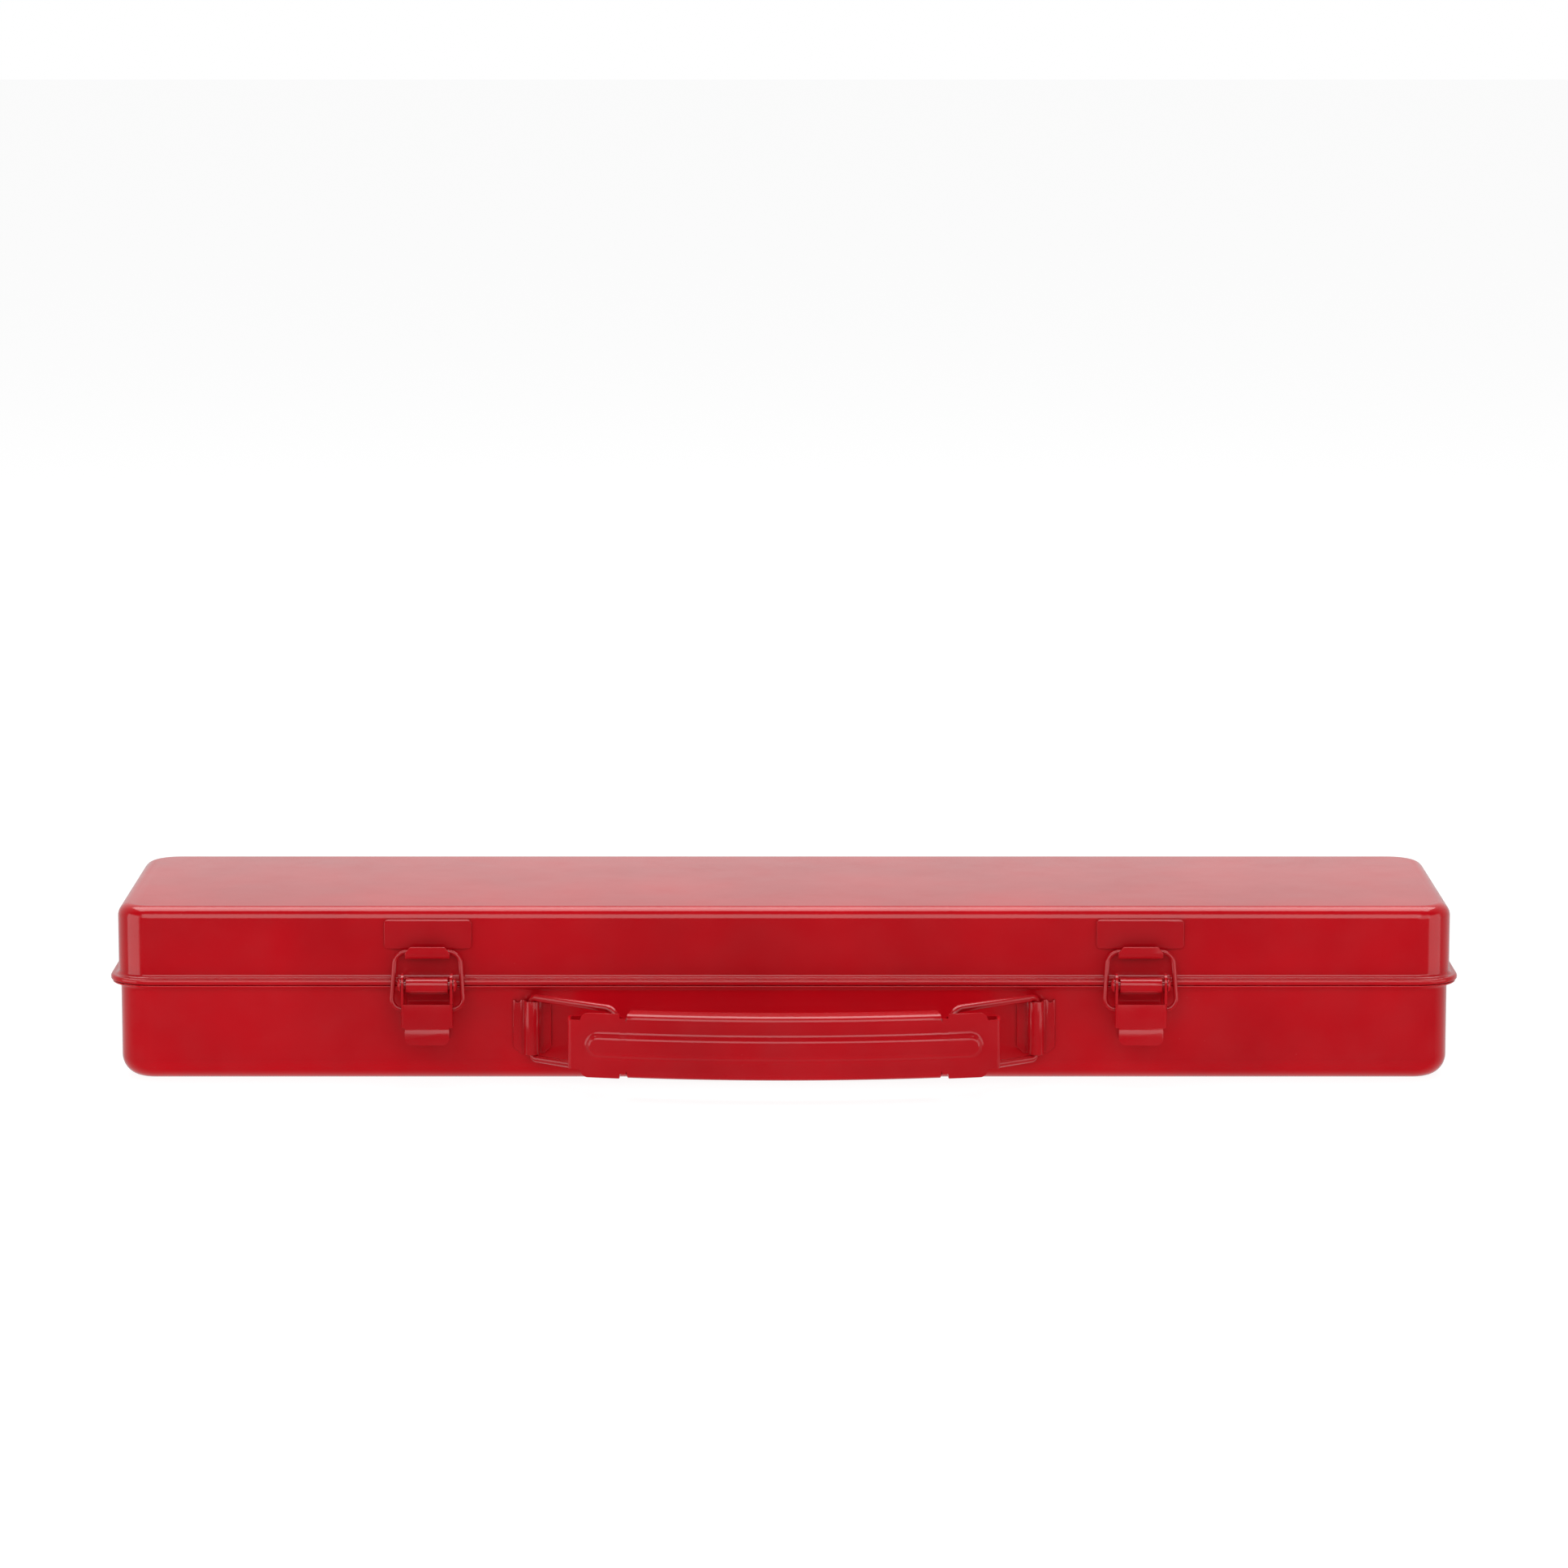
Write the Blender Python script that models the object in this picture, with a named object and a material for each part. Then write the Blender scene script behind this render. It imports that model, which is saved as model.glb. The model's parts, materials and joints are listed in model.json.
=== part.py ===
"""A flat steel toolbox with a lift-out tray, two wire-loop latches and a folding grip.

Axes: X to the right, Y to the back, Z up. The origin is the middle of the base's flat
bottom. Sizes below are in millimetres; every mesh is scaled to metres as it is made.
"""

from math import atan2, cos, hypot, pi, radians, sin, tan

import bmesh
import bpy
from mathutils import Vector

MM = 0.001

# Driving sizes of the box
LID_LENGTH = 464.4
LID_DEPTH = 110.0
BASE_INSET = 0.75  # the base's walls stand this far inside the lid's, all round
CORNER_RADIUS = 12.9  # plan radius of the lid's corners
BASE_HEIGHT = 34.2  # top of the base's flange
LID_HEIGHT = 27.0  # from there to the top of the lid
SHEET = 0.8
GAP = 0.3  # clearance between neighbouring pieces
LID_EDGE_RADIUS = 4.5
BASE_EDGE_RADIUS = 7.5
LID_FLANGE = 2.8  # how far the lid's flange stands out from its wall
LID_LIP = 1.8  # height of the down-turned lip on that flange
LID_FLANGE_FILLET = 1.5
BASE_FLANGE_FILLET = 1.8
BASE_FLANGE_UNDER_LIP = 0.2  # how far the base's flange reaches under the lip
SMALL_BEND = 0.8  # centreline radius of a tight fold in sheet
CRANK_BEND = 1.5  # and of an easy one

# Tray, its rests and its lugs
TRAY_SIDE_GAP = 2.4
TRAY_END_GAP = 4.6
TRAY_FLOOR_Z = 14.0
TRAY_DROP = 0.7  # the tray's rim below the top of the base's flange
TRAY_RIM = 2.0
TRAY_EDGE_RADIUS = 4.0
REST_WIDTH = 13.0
REST_LENGTH = 70.0
LUG_WIDTH = 30.0
LUG_RISE = 6.5
LUG_DROP = 12.0
LUG_CORNER = 4.0
LUG_HOLE_RADIUS = 2.0

# Hinges
HINGE_X = 140.0
HINGE_LENGTH = 40.0
HINGE_BARREL = 17.6  # length of the middle knuckle
HINGE_PIN_RADIUS = 1.1
HINGE_PIN_PROUD = 0.6  # how far the pin stands out of the knuckles
HINGE_LEAF_REACH = 22.0  # height of the leaf above or below the knuckle
HINGE_CRANK = 7.5  # where the leaf leaves the wall, from the knuckle's axis
HINGE_CRANK_END = 0.6  # where it meets the knuckle, from the knuckle's clearance
HINGE_PLAY = 0.5  # between the knuckle and the lid's flange

# Latches: widths and distances in front of the lid's wall
LATCH_X = 123.5
STRIKE_WIDTH = 30.2
HOOK_WIDTH = 15.5
HOOK_BEND = 1.2
HOOK_BACK_PLAY = 0.775  # between the strike's plate and the loop's bar
HOOK_FRONT_PLAY = 0.975  # between that bar and the hook's lip
HOOK_FLOOR_PLAY = 0.2  # under the bar as the lever passes over centre
LEVER_SHEET = 0.85
LEVER_WIDTH = 17.8
LEVER_BACK = 3.5
LEVER_FRONT = 10.4
LEVER_TOP_RADIUS = 3.45
LEVER_FOOT = 0.2  # height of the fold left between the face and the tab
TAB_WIDTH = 15.3
TAB_FLARE = 0.9
RIVET_OUT = 7.4
RIVET_RADIUS = 1.5
RIVET_HEAD_RADIUS = 2.4
RIVET_HEAD = 1.2
RIVET_DOME = ((1.0, 0.55), (0.6, 0.9))  # shares of the head's height and radius
ROLL_PLAY = 0.8  # between the bracket's roll and the lever's cheeks
ROLL_TURN = 282.0
LOOP_WIRE_RADIUS = 0.825
LOOP_PIVOT_OUT = 6.6
LOOP_DIP = 0.45  # how far the bar sinks as the lever passes over centre
LOOP_LEG_PLAY = 1.675  # between the rivet's head and the loop's leg
LOOP_TAPER = 1.7  # how much nearer the legs are at the bar
LOOP_BEND_BOTTOM = 3.6
LOOP_BEND_TOP = 4.2
LOOP_END_PROUD = 0.5  # the loop's inturned ends inside the cheeks

# Latches: heights, down from the rivet's axis unless they say otherwise
RIVET_RISE = 1.1  # the rivet above the top of the base's flange
LEVER_RISE = 4.1  # the lever's top above the rivet
LEVER_FACE_START = 6.3
LEVER_FACE_END = 14.5
LEVER_CHEEK_END = 11.0
TAB_END = 20.4
LOOP_PIVOT_DROP = 8.5
BRACKET_END = 20.3
BRACKET_CRANK = 6.5
BRACKET_CRANK_END = 2.8
STRIKE_DROP = 4.0  # the strike's top below the lid's
STRIKE_HEIGHT = 10.3
HOOK_LIP = 1.4  # the lip's tip above the plate's lower edge
LOOP_BAR_DROP = 0.7  # the bar below that edge

# Handle
EAR_X = 87.5
EAR_WIDTH = 13.2
EAR_END_GAP = 0.2  # between the ear's ends and the ring's bars
RING_WIRE_RADIUS = 1.3
RING_WALL_GAP = 2.0  # between the base's wall and the ring's upright
RING_PLAY = 0.6  # between that upright and the ear
RING_HALF_HEIGHT = 10.9
RING_DROP = 14.7  # the ring's middle below the top of the base's flange
RING_EAR_BEND = 2.2
RING_GRIP_BEND = 3.75
RING_FROM_GRIP_END = 16.5
RING_SEAT_DEPTH = 3.0  # the ring's other upright behind the grip's end
GRIP_SHEET = 1.0
GRIP_HALF_LENGTH = 74.2
GRIP_HALF_HEIGHT = 11.2
GRIP_SAG = 0.8  # the grip's middle below the ring's
GRIP_END_OUT = 28.0
GRIP_BOW = 9.0
GRIP_FLANGE = 8.0
GRIP_FLANGE_SETBACK = 20.4  # these four from the grip's end
GRIP_TAB_SETBACK = 19.2
BEAD_SETBACK = 5.8
GRIP_PLATE_SETBACK = 4.2
GRIP_TAB_HALF_HEIGHT = 8.5
GRIP_TAB_DEPTH = 8.5
GRIP_TAB_BEND = 1.8
GRIP_TAB_TURN = 280.0  # degrees round the end bend at which the front face meets it
GRIP_NOTCH = 0.3
BEAD_HALF_WIDTH = 4.75
BEAD_HEIGHT = 1.6
BEAD_SLOPE = 1.6
BEAD_RAMP = 2.0

# Facets in a quarter turn, or round a whole one
CORNER_STEPS = 6
EDGE_STEPS = 4
BEND_STEPS = 3
WIRE_BEND_STEPS = 4
LEVER_BEND_STEPS = 5
CURL_STEPS = 12
CHANNEL_STEPS = 8
GRIP_BOW_STEPS = 4
WIRE_SIDES = 8
PIN_SIDES = 12
RIVET_SIDES = 16

SMOOTH_ANGLE = 35.0
NUDGE = 0.01  # keeps neighbouring points of an outline apart
MITRE_LIMIT = 0.2
CUT_OVER = 2.0  # how far a cutter reaches past what it cuts

# Sizes that follow from those above
BOX_HEIGHT = BASE_HEIGHT + LID_HEIGHT
LID_HALF_X = LID_LENGTH / 2
LID_HALF_Y = LID_DEPTH / 2
BASE_HALF_X = LID_HALF_X - BASE_INSET
BASE_HALF_Y = LID_HALF_Y - BASE_INSET
BASE_CORNER = CORNER_RADIUS - BASE_INSET
LID_RIM_Z = BASE_HEIGHT + GAP
BASE_FLANGE = BASE_INSET + LID_FLANGE - SHEET + BASE_FLANGE_UNDER_LIP
CURL_RADIUS = HINGE_PIN_RADIUS + GAP + SHEET / 2
HINGE_Y = LID_HALF_Y + LID_FLANGE + HINGE_PLAY + CURL_RADIUS + SHEET / 2
HINGE_Z = BASE_HEIGHT + GAP / 2
TRAY_BASE_HALF_X = BASE_HALF_X - SHEET - TRAY_END_GAP
TRAY_BASE_HALF_Y = BASE_HALF_Y - SHEET - TRAY_SIDE_GAP
TRAY_RIM_Z = BASE_HEIGHT - TRAY_DROP
RIVET_Y = -LID_HALF_Y - RIVET_OUT
RIVET_Z = BASE_HEIGHT + RIVET_RISE
ROLL_LENGTH = LEVER_WIDTH - 2 * LEVER_SHEET - 2 * ROLL_PLAY
STRIKE_TOP = BOX_HEIGHT - STRIKE_DROP
STRIKE_BOTTOM = STRIKE_TOP - STRIKE_HEIGHT
HOOK_TIP = STRIKE_BOTTOM + HOOK_LIP
HOOK_THROAT = HOOK_BACK_PLAY + 2 * LOOP_WIRE_RADIUS + HOOK_FRONT_PLAY
LOOP_PIVOT_Y = -LID_HALF_Y - LOOP_PIVOT_OUT
LOOP_PIVOT_Z = RIVET_Z - LOOP_PIVOT_DROP
LOOP_BAR_Y = -LID_HALF_Y - GAP - SHEET - HOOK_BACK_PLAY - LOOP_WIRE_RADIUS
LOOP_BAR_Z = STRIKE_BOTTOM - LOOP_BAR_DROP
LOOP_HALF_BOTTOM = LEVER_WIDTH / 2 + GAP + RIVET_HEAD + LOOP_LEG_PLAY + LOOP_WIRE_RADIUS
LOOP_HALF_TOP = LOOP_HALF_BOTTOM - LOOP_TAPER
LOOP_END = LEVER_WIDTH / 2 - LEVER_SHEET - LOOP_END_PROUD
EAR_CHANNEL_RADIUS = RING_WIRE_RADIUS + RING_PLAY + SHEET / 2
EAR_HALF_HEIGHT = RING_HALF_HEIGHT - RING_WIRE_RADIUS - EAR_END_GAP
RING_Z = BASE_HEIGHT - RING_DROP
RING_AXIS_Y = -BASE_HALF_Y - RING_WALL_GAP - RING_WIRE_RADIUS
RING_SEAT_X = GRIP_HALF_LENGTH - RING_FROM_GRIP_END
RING_SEAT_Y = -LID_HALF_Y - GRIP_END_OUT + RING_SEAT_DEPTH
RING_LENGTH = hypot(EAR_X - RING_SEAT_X, RING_AXIS_Y - RING_SEAT_Y)
RING_REST_ANGLE = atan2(RING_AXIS_Y - RING_SEAT_Y, EAR_X - RING_SEAT_X)
GRIP_Z = RING_Z - GRIP_SAG


# Outlines: lists of 2D points


def arc(centre, radius, start, end, steps):
    """Points from start to end, in degrees, round a centre."""
    points = []
    for step in range(steps + 1):
        angle = radians(start + (end - start) * step / steps)
        points.append(Vector((centre[0] + radius * cos(angle), centre[1] + radius * sin(angle))))
    return points


def rounded(corners, closed=False, steps=BEND_STEPS):
    """A line through (u, v, radius) corners, each turned with its own radius."""
    points = []
    count = len(corners)
    for index, (u, v, radius) in enumerate(corners):
        corner = Vector((u, v))
        if radius == 0 or (not closed and index in (0, count - 1)):
            points.append(corner)
            continue
        back = (Vector(corners[index - 1][:2]) - corner).normalized()
        ahead = (Vector(corners[(index + 1) % count][:2]) - corner).normalized()
        half = back.angle(ahead) / 2
        centre = corner + (back + ahead).normalized() * radius / sin(half)
        spoke = corner + back * radius / tan(half) - centre
        turn = (pi - 2 * half) * (-1 if back.cross(ahead) > 0 else 1)
        for step in range(steps + 1):
            angle = turn * step / steps
            turned = Vector(
                (
                    spoke.x * cos(angle) - spoke.y * sin(angle),
                    spoke.x * sin(angle) + spoke.y * cos(angle),
                )
            )
            points.append(centre + turned)
    return points


def sheet_outline(path, thickness):
    """Closed outline of a sheet that follows an open centreline."""
    left = []
    right = []
    for index, point in enumerate(path):
        before = path[max(index - 1, 0)]
        after = path[min(index + 1, len(path) - 1)]
        arriving = (point - before).normalized() if index else (after - point).normalized()
        leaving = (after - point).normalized() if after is not point else arriving
        along = (arriving + leaving).normalized()
        side = Vector((-along.y, along.x)) * thickness / 2 / max(along.dot(leaving), MITRE_LIMIT)
        left.append(point + side)
        right.append(point - side)
    return left + right[::-1]


# Solids


def material(name, colour, roughness):
    found = bpy.data.materials.get(name)
    if found:
        return found
    made = bpy.data.materials.new(name)
    made.use_nodes = True
    shader = made.node_tree.nodes["Principled BSDF"]
    shader.inputs["Base Color"].default_value = (*colour, 1.0)
    shader.inputs["Roughness"].default_value = roughness
    shader.inputs["Metallic"].default_value = 0.0
    return made


def mesh_object(name, rings, origin=(0.0, 0.0, 0.0), ring_closed=False):
    """One closed solid from rings of points, each ring joined to the next."""
    mesh = bpy.data.meshes.new(name)
    built = bmesh.new()
    pivot = Vector(origin)
    loops = [[built.verts.new((Vector(point) - pivot) * MM) for point in ring] for ring in rings]
    pairs = list(zip(loops, loops[1:]))
    if ring_closed:
        pairs.append((loops[-1], loops[0]))
    for first, second in pairs:
        for index in range(len(first)):
            after = (index + 1) % len(first)
            built.faces.new((first[index], first[after], second[after], second[index]))
    if not ring_closed:
        built.faces.new(loops[0][::-1])
        built.faces.new(loops[-1])
    bmesh.ops.recalc_face_normals(built, faces=built.faces)
    if built.calc_volume(signed=True) < 0:
        bmesh.ops.reverse_faces(built, faces=built.faces)
    built.to_mesh(mesh)
    built.free()
    mesh.shade_smooth()
    mesh.set_sharp_from_angle(angle=radians(SMOOTH_ANGLE))
    made = bpy.data.objects.new(name, mesh)
    made.location = pivot * MM
    bpy.context.scene.collection.objects.link(made)
    return made


def part(name, rings, finish, origin=(0.0, 0.0, 0.0), ring_closed=False):
    made = mesh_object(name, rings, origin, ring_closed)
    made.data.materials.append(material(*finish))
    return made


def along_x(outline, start, end):
    """An outline in (y, z), run from one X to another."""
    return [[(x, point[0], point[1]) for point in outline] for x in (start, end)]


def along_z(outline, start, end):
    """An outline in (x, y), run from one Z to another."""
    return [[(point[0], point[1], z) for point in outline] for z in (start, end)]


def along_y(outline, start, end):
    """An outline in (x, z), run from one Y to another."""
    return [[(point[0], y, point[1]) for point in outline] for y in (start, end)]


def box(low, high):
    outline = [(low[0], low[1]), (high[0], low[1]), (high[0], high[1]), (low[0], high[1])]
    return along_z(outline, low[2], high[2])


def rod(centre_y, centre_z, radius, start, end):
    """A round bar along X."""
    circle = arc((centre_y, centre_z), radius, 0, 360, PIN_SIDES)[:-1]
    return along_x(circle, start, end)


def cut(target, name, rings):
    """Takes a solid away from target, with a cutter that stays hidden."""
    cutter = mesh_object(name, rings, target.location / MM)
    cutter.hide_render = True
    cutter.display_type = "WIRE"
    modifier = target.modifiers.new(name, "BOOLEAN")
    modifier.operation = "DIFFERENCE"
    modifier.solver = "EXACT"
    modifier.object = cutter


def wire(path, normal, radius, closed=False):
    """Rings of points round a wire that lies in one plane."""
    rings = []
    count = len(path)
    for index, point in enumerate(path):
        if closed:
            before = path[index - 1]
            after = path[(index + 1) % count]
        else:
            before = path[max(index - 1, 0)]
            after = path[min(index + 1, count - 1)]
        arriving = (point - before).normalized() if point is not before else None
        leaving = (after - point).normalized() if after is not point else arriving
        arriving = arriving or leaving
        along = (arriving + leaving).normalized()
        side = along.cross(normal).normalized() / max(along.dot(leaving), MITRE_LIMIT)
        ring = []
        for step in range(WIRE_SIDES):
            angle = 2 * pi * (step + 0.5) / WIRE_SIDES
            ring.append(point + side * radius * cos(angle) + normal * radius * sin(angle))
        rings.append(ring)
    return rings


# The pressed pans: base, lid and tray


def plan_ring(half_x, half_y, radius, out, z):
    """A rounded rectangle at height z, moved outwards by out."""
    ring = []
    for quarter, (side_x, side_y) in enumerate(((1, 1), (-1, 1), (-1, -1), (1, -1))):
        centre = (side_x * (half_x - radius), side_y * (half_y - radius))
        for point in arc(centre, radius + out, 90 * quarter, 90 * quarter + 90, CORNER_STEPS):
            ring.append((point.x, point.y, z))
    return ring


def pan(name, half_x, half_y, radius, profile, finish, origin=(0.0, 0.0, 0.0)):
    """A pan whose wall follows a profile of (out, z) points, from one floor face to the other."""
    rings = [plan_ring(half_x, half_y, radius, out, z) for out, z in profile]
    return part(name, rings, finish, origin)


def base_profile():
    edge = BASE_EDGE_RADIUS
    fillet = BASE_FLANGE_FILLET
    under = BASE_HEIGHT - SHEET
    inner_fillet = fillet + SHEET
    outer = arc((-edge, edge), edge, -90, 0, EDGE_STEPS)
    outer += arc((fillet, under - fillet), fillet, 180, 90, BEND_STEPS)
    outer += [(BASE_FLANGE, under), (BASE_FLANGE, BASE_HEIGHT)]
    inner = arc((fillet, under - fillet), inner_fillet, 90, 180, BEND_STEPS)
    inner += arc((-edge, edge), edge - SHEET, 0, -90, EDGE_STEPS)
    return outer + inner


def lid_profile():
    edge = LID_EDGE_RADIUS
    fillet = LID_FLANGE_FILLET
    flange_top = LID_RIM_Z + LID_LIP
    centre = (-edge, BOX_HEIGHT - edge)
    shoulder = (fillet, flange_top + fillet)
    outer = arc(centre, edge, 90, 0, EDGE_STEPS)
    outer += arc(shoulder, fillet, 180, 270, BEND_STEPS)
    outer += [(LID_FLANGE - SHEET / 2, flange_top), (LID_FLANGE, flange_top - SHEET / 2)]
    outer += [(LID_FLANGE, LID_RIM_Z), (LID_FLANGE - SHEET, LID_RIM_Z)]
    outer += [(LID_FLANGE - SHEET, flange_top - SHEET)]
    inner = arc(shoulder, fillet + SHEET, 270, 180, BEND_STEPS)
    inner += arc(centre, edge - SHEET, 0, 90, EDGE_STEPS)
    return outer + inner


def tray_profile():
    edge = TRAY_EDGE_RADIUS
    centre = (-edge, TRAY_FLOOR_Z + edge)
    rim = TRAY_RIM_Z
    outer = arc(centre, edge, -90, 0, EDGE_STEPS)
    outer += [(0.0, rim - SHEET), (TRAY_RIM, rim - SHEET), (TRAY_RIM, rim), (-SHEET, rim)]
    inner = arc(centre, edge - SHEET, 0, -90, EDGE_STEPS)
    return outer + inner


ENAMEL = ("red_enamel", (0.45, 0.006, 0.012), 0.22)
ENAMEL_PRESSED = ("red_enamel_pressings", (0.42, 0.006, 0.012), 0.25)
ENAMEL_WIRE = ("red_enamel_wire", (0.40, 0.005, 0.010), 0.28)
ENAMEL_INSIDE = ("red_enamel_inside", (0.36, 0.006, 0.012), 0.35)

LID_AXIS = (0.0, HINGE_Y, HINGE_Z)


def build_pans():
    pan("base_shell", BASE_HALF_X, BASE_HALF_Y, BASE_CORNER, base_profile(), ENAMEL)
    pan("lid_shell", LID_HALF_X, LID_HALF_Y, CORNER_RADIUS, lid_profile(), ENAMEL, LID_AXIS)
    half_x = TRAY_BASE_HALF_X - TRAY_RIM
    half_y = TRAY_BASE_HALF_Y - TRAY_RIM
    corner = CORNER_RADIUS - TRAY_SIDE_GAP
    pan("tray", half_x, half_y, corner, tray_profile(), ENAMEL_INSIDE, (0.0, 0.0, TRAY_FLOOR_Z))


def build_tray_fittings(label, side):
    """The angle strip that carries one end of the tray, and the lug that lifts it."""
    wall = BASE_HALF_X - SHEET - GAP - SHEET / 2
    shelf = TRAY_FLOOR_Z - GAP - SHEET / 2
    foot = BASE_EDGE_RADIUS + GAP
    path = rounded([
        (side * wall, foot, 0),
        (side * wall, shelf, SMALL_BEND),
        (side * (wall - REST_WIDTH), shelf, 0),
    ])
    strip = along_y(sheet_outline(path, SHEET), -REST_LENGTH / 2, REST_LENGTH / 2)
    part(f"tray_rest_{label}", strip, ENAMEL_INSIDE)

    face = side * (TRAY_BASE_HALF_X - TRAY_RIM - SHEET - GAP - SHEET / 2)
    top = TRAY_RIM_Z + LUG_RISE
    bottom = TRAY_RIM_Z - LUG_DROP
    half = LUG_WIDTH / 2
    corners = [(-half, bottom, 0), (half, bottom, 0), (half, top, LUG_CORNER), (-half, top, LUG_CORNER)]
    plate = along_x(rounded(corners, closed=True), face - SHEET / 2, face + SHEET / 2)
    lug = part(f"tray_lug_{label}", plate, ENAMEL_INSIDE, (0.0, 0.0, TRAY_FLOOR_Z))
    slot_z = TRAY_RIM_Z + LUG_RISE / 2
    slot = arc((half / 2, slot_z), LUG_HOLE_RADIUS, -90, 90, WIRE_SIDES)
    slot += arc((-half / 2, slot_z), LUG_HOLE_RADIUS, 90, 270, WIRE_SIDES)
    cut(lug, f"tray_lug_slot_{label}", along_x(slot, face - 2 * SHEET, face + 2 * SHEET))


# Hinges at the back


def leaf_path(wall, direction):
    """Centreline of a hinge leaf: up or down the wall, out, and round the pin."""
    near = HINGE_Y - CURL_RADIUS
    clear = CURL_RADIUS + SHEET / 2 + GAP
    path = rounded([
        (wall, HINGE_Z + direction * HINGE_LEAF_REACH, 0),
        (wall, HINGE_Z + direction * HINGE_CRANK, CRANK_BEND),
        (near, HINGE_Z + direction * (clear + HINGE_CRANK_END), CRANK_BEND),
        (near, HINGE_Z + direction * NUDGE, 0),
    ])
    return path + arc((HINGE_Y, HINGE_Z), CURL_RADIUS, 180, 180 + direction * 270, CURL_STEPS)[1:]


def build_hinge(label, side):
    """Two leaves curled round one pin. The base's leaf holds the middle knuckle."""
    centre_x = side * HINGE_X
    start = centre_x - HINGE_LENGTH / 2
    end = centre_x + HINGE_LENGTH / 2
    clear = CURL_RADIUS + SHEET / 2 + GAP
    near_y = HINGE_Y - 2 * clear
    far_y = HINGE_Y + 2 * clear
    half = HINGE_BARREL / 2

    outline = sheet_outline(leaf_path(BASE_HALF_Y + GAP + SHEET / 2, -1), SHEET)
    leaf = part(f"hinge_base_leaf_{label}", along_x(outline, start, end), ENAMEL_PRESSED)
    ends = (("a", start - CUT_OVER, centre_x - half), ("b", centre_x + half, end + CUT_OVER))
    for place, first, last in ends:
        notch = box((first, near_y, HINGE_Z - clear), (last, far_y, HINGE_Z + 2 * clear))
        cut(leaf, f"hinge_base_notch_{place}_{label}", notch)

    outline = sheet_outline(leaf_path(LID_HALF_Y + GAP + SHEET / 2, 1), SHEET)
    leaf = part(f"hinge_lid_leaf_{label}", along_x(outline, start, end), ENAMEL_PRESSED, LID_AXIS)
    half += GAP
    low = (centre_x - half, near_y, HINGE_Z - 2 * clear)
    high = (centre_x + half, far_y, HINGE_Z + clear)
    cut(leaf, f"hinge_lid_notch_{label}", box(low, high))

    pin = rod(HINGE_Y, HINGE_Z, HINGE_PIN_RADIUS, start - HINGE_PIN_PROUD, end + HINGE_PIN_PROUD)
    part(f"hinge_pin_{label}", pin, ENAMEL_PRESSED, (centre_x, HINGE_Y, HINGE_Z))


# Latches


def build_strike(label, centre_x):
    """The plate on the lid, its lower middle bent out and up into a hook."""
    back = -LID_HALF_Y - GAP - SHEET / 2
    floor = LOOP_BAR_Z - LOOP_DIP - LOOP_WIRE_RADIUS - HOOK_FLOOR_PLAY - SHEET / 2
    lip = back - HOOK_THROAT - SHEET
    path = rounded([
        (back, STRIKE_TOP, 0),
        (back, floor, HOOK_BEND),
        (lip, floor, HOOK_BEND),
        (lip, HOOK_TIP, 0),
    ])
    half = STRIKE_WIDTH / 2
    strip = along_x(sheet_outline(path, SHEET), centre_x - half, centre_x + half)
    strike = part(f"latch_strike_{label}", strip, ENAMEL_PRESSED, LID_AXIS)
    for place, side in (("a", -1), ("b", 1)):
        near, far = sorted((centre_x + side * HOOK_WIDTH / 2, centre_x + side * (half + CUT_OVER)))
        below = box((near, lip - CUT_OVER, floor - CUT_OVER), (far, back + CUT_OVER, STRIKE_BOTTOM))
        cut(strike, f"latch_strike_side_{place}_{label}", below)
        before = box((near, lip - CUT_OVER, floor), (far, back - SHEET, HOOK_TIP + CUT_OVER))
        cut(strike, f"latch_hook_side_{place}_{label}", before)


def build_bracket(label, centre_x):
    """The strap on the base, rolled round the latch's rivet, and that rivet."""
    back = -BASE_HALF_Y - GAP - SHEET / 2
    roll = RIVET_RADIUS + GAP + SHEET / 2
    near = RIVET_Y + roll
    path = rounded([
        (back, RIVET_Z - BRACKET_END, 0),
        (back, RIVET_Z - BRACKET_CRANK, CRANK_BEND),
        (near, RIVET_Z - BRACKET_CRANK_END, CRANK_BEND),
        (near, RIVET_Z - NUDGE, 0),
    ])
    path += arc((RIVET_Y, RIVET_Z), roll, 0, ROLL_TURN, CURL_STEPS)[1:]
    half = ROLL_LENGTH / 2
    strap = along_x(sheet_outline(path, SHEET), centre_x - half, centre_x + half)
    part(f"latch_bracket_{label}", strap, ENAMEL_PRESSED)

    inner = LEVER_WIDTH / 2 + GAP
    stations = [(-inner - RIVET_HEAD * rise, RIVET_HEAD_RADIUS * reach) for rise, reach in RIVET_DOME]
    stations += [(-inner, RIVET_HEAD_RADIUS), (-inner, RIVET_RADIUS)]
    stations += [(-x, radius) for x, radius in stations[::-1]]
    rings = []
    for x, radius in stations:
        circle = arc((RIVET_Y, RIVET_Z), radius, 0, 360, RIVET_SIDES)[:-1]
        rings.append([(centre_x + x, point.x, point.y) for point in circle])
    part(f"latch_rivet_{label}", rings, ENAMEL_PRESSED, (centre_x, RIVET_Y, RIVET_Z))


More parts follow.
